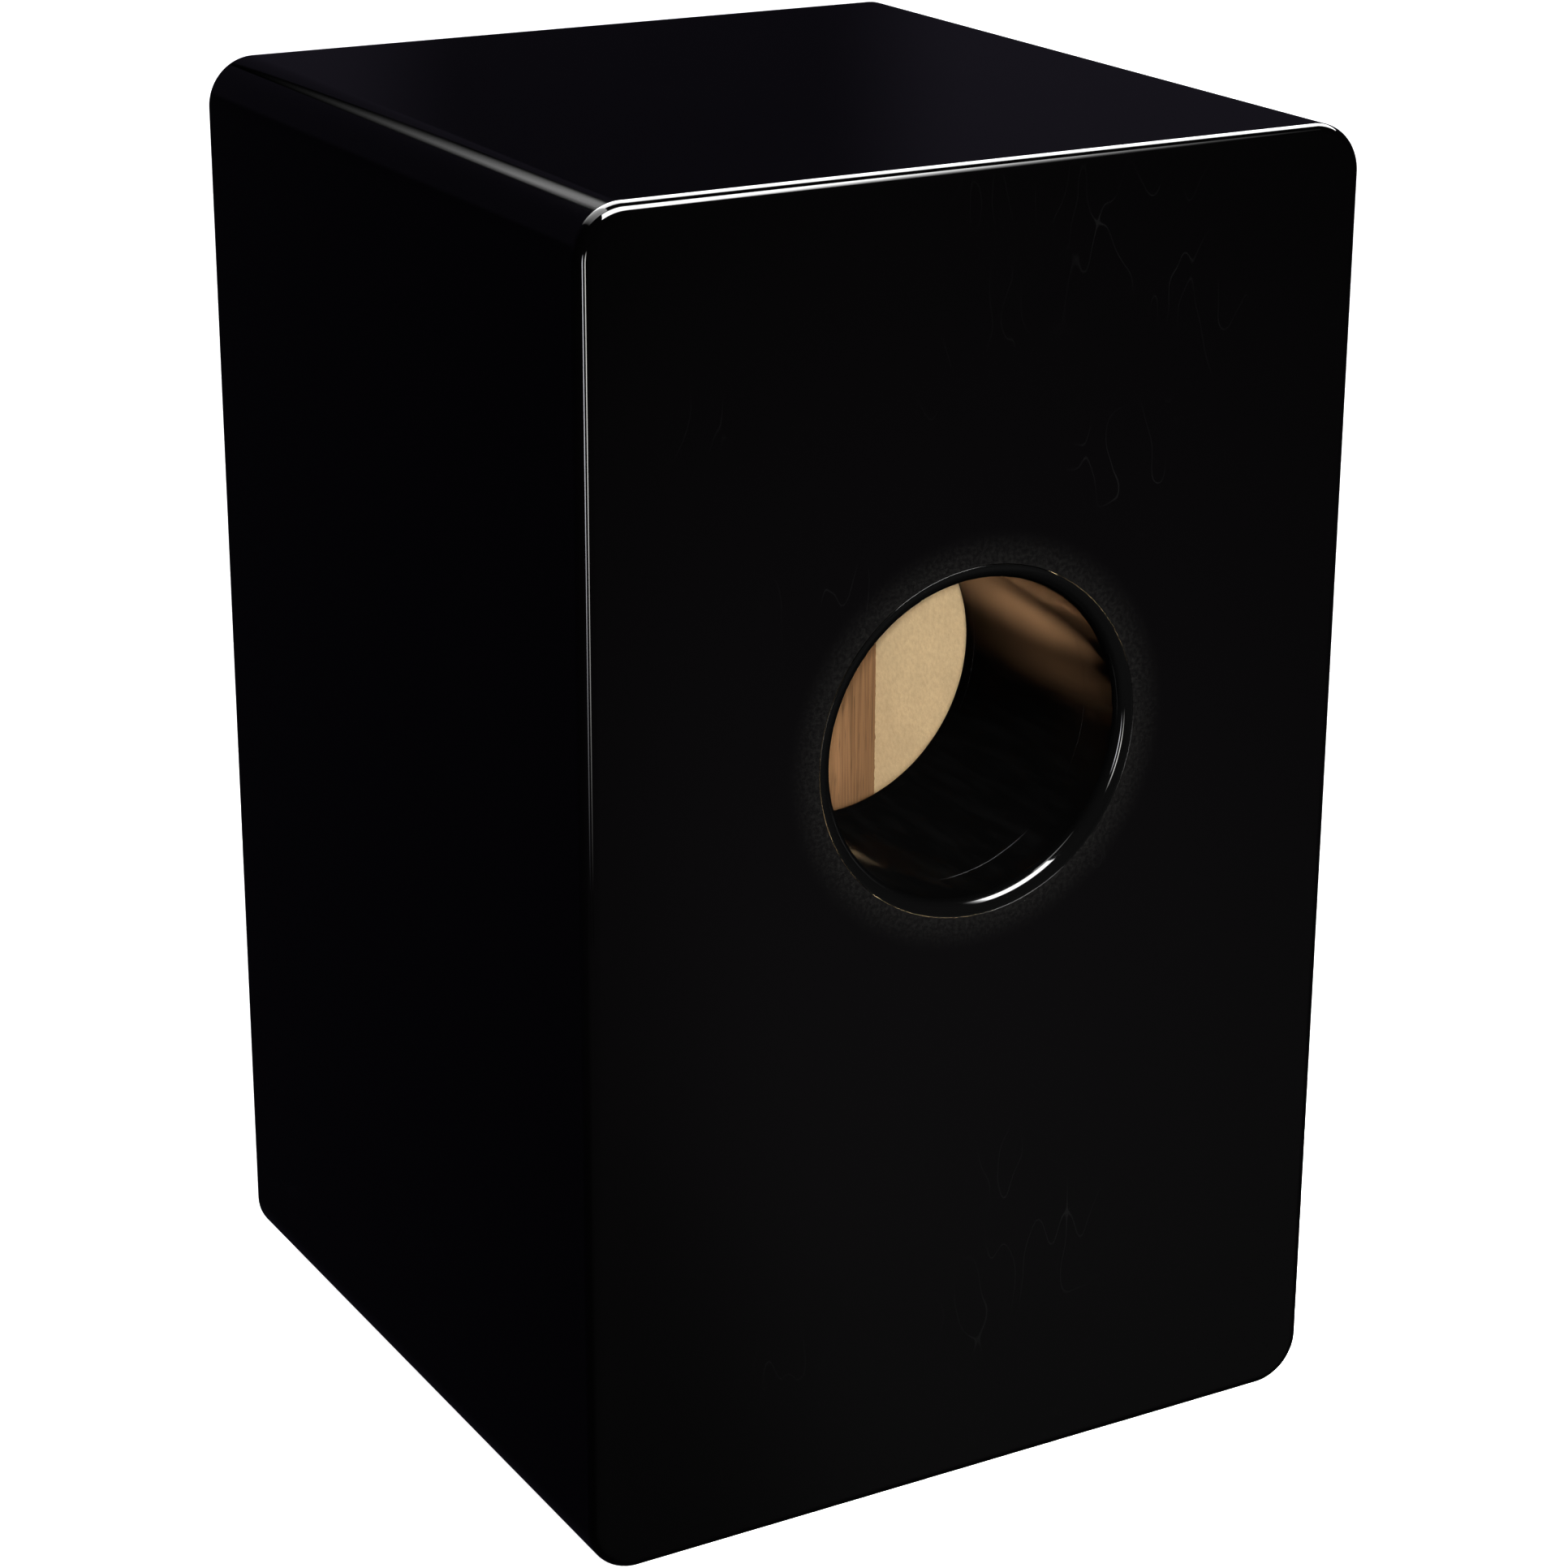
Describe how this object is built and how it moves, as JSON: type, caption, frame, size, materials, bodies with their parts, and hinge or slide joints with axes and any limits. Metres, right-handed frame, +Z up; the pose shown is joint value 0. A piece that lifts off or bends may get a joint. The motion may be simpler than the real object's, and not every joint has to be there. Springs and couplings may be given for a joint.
{
  "type": "cajon",
  "caption": "Box drum with a thin wooden striking face, a flared bass port in its rear board and adjustable steel snare strings inside.",
  "frame": {"origin": "on the floor under the middle of the cabinet, level with the soles of the feet", "axes": "+Z up, -Y out of the striking face (tapa), +Y out of the rear board with the port, +X to the right seen from the front"},
  "size_m": [0.3, 0.3, 0.488],
  "materials": {
    "lacquered_board": "black gloss lacquer outside, raw tan fibreboard inside",
    "tapa_ply": "black gloss lacquer in front, reddish-brown veneer behind",
    "hardwood": "planed bare reddish-brown hardwood",
    "port_plastic": "black moulded plastic, glossy",
    "black_screw": "black oxide steel",
    "zinc_steel": "zinc-plated steel",
    "bolt_steel": "dark steel, socket-headed",
    "string_steel": "wound steel string",
    "brass": "turned brass",
    "foot_rubber": "moulded black rubber"
  },
  "bodies": {
    "cabinet": {"top_panel": "lacquered_board", "bottom_panel": "lacquered_board", "side_panel_left": "lacquered_board", "side_panel_right": "lacquered_board", "back_panel": "lacquered_board", "corner_batten_top_left": "hardwood", "corner_batten_top_right": "hardwood", "corner_batten_bottom_left": "hardwood", "corner_batten_bottom_right": "hardwood", "string_batten": "hardwood", "tapa": "tapa_ply", "tapa_screws": "black_screw", "port_flange": "port_plastic", "port_sleeve": "port_plastic", "port_tube": "port_plastic", "port_flare": "port_plastic", "anchor_plate": "zinc_steel", "anchor_screws": "zinc_steel", "string_balls": "brass", "guide_bracket_left": "zinc_steel", "guide_bracket_right": "zinc_steel", "bracket_screws": "zinc_steel", "bolt_washers": "zinc_steel", "foot_front_left": "foot_rubber", "foot_front_right": "foot_rubber", "foot_rear_left": "foot_rubber", "foot_rear_right": "foot_rubber", "foot_screws": "zinc_steel", "foot_washers": "zinc_steel"},
    "tension_bolt_left": {"tension_bolt_left": "bolt_steel", "bolt_clip_left": "zinc_steel"},
    "tension_bolt_right": {"tension_bolt_right": "bolt_steel", "bolt_clip_right": "zinc_steel"},
    "carriage_left": {"string_carriage_left": "zinc_steel", "string_ferrules_left": "brass", "strings_left": "string_steel"},
    "carriage_right": {"string_carriage_right": "zinc_steel", "string_ferrules_right": "brass", "strings_right": "string_steel"}
  },
  "joints": [
    {"name": "tension_bolt_left_turn", "type": "hinge", "parent": "cabinet", "child": "tension_bolt_left", "pos_m": [-0.062, -0.1335, 0.013], "axis": [0, 0, 1], "range_deg": [-901, 901]},
    {"name": "carriage_left_slide", "type": "slide", "parent": "cabinet", "child": "carriage_left", "axis": [0, 0, -1], "range_m": [-0.002, 0.002], "deforming": ["strings_left"]},
    {"name": "tension_bolt_right_turn", "type": "hinge", "parent": "cabinet", "child": "tension_bolt_right", "pos_m": [0.062, -0.1335, 0.013], "axis": [0, 0, 1], "range_deg": [-901, 901]},
    {"name": "carriage_right_slide", "type": "slide", "parent": "cabinet", "child": "carriage_right", "axis": [0, 0, -1], "range_m": [-0.002, 0.002], "deforming": ["strings_right"]}
  ],
  "couplings": [
    {"joint": "tension_bolt_left_turn", "follows": "carriage_left_slide", "rad_per_m": 7854},
    {"joint": "tension_bolt_right_turn", "follows": "carriage_right_slide", "rad_per_m": 7854}
  ]
}
